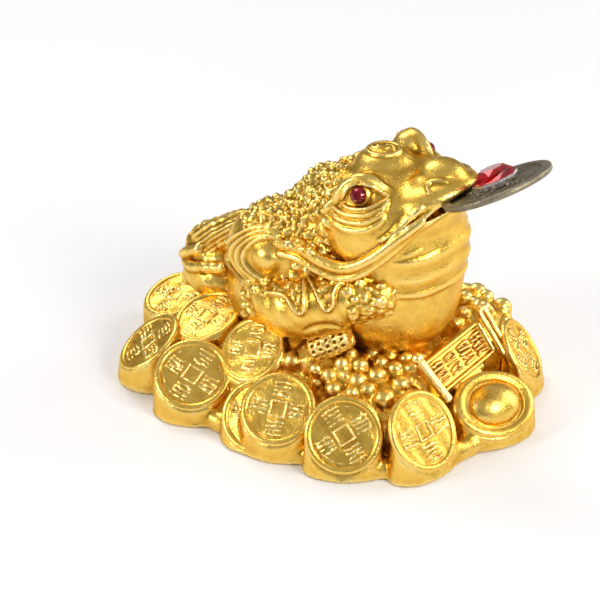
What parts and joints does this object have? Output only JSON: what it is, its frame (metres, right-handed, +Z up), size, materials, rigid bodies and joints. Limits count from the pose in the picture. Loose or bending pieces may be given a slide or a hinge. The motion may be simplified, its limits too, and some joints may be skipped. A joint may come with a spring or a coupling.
{
  "type": "money toad figurine",
  "caption": "Gold money toad figurine on a bed of cash coins, beads, ingots and a scroll, with a loose square-holed coin and a red stone in its mouth.",
  "frame": {"origin": "middle of the bed, on its flat underside", "axes": "+X to the toad's front, +Y to the toad's left, +Z up"},
  "size_m": [0.0961, 0.0696, 0.0604],
  "materials": {
    "gold_paint": "bright metallic gold paint on cast resin",
    "antique_brass": "antiqued, dark in the hollows",
    "coin_stone": "clear red faceted stone with a silvered girdle",
    "eye_stone": "dark red faceted stone"
  },
  "bodies": {
    "root": {"toad_figure": "gold_paint", "mouth_coin": "antique_brass", "coin_gem": "coin_stone", "eye_gem_right": "eye_stone", "eye_gem_left": "eye_stone"}
  },
  "joints": []
}
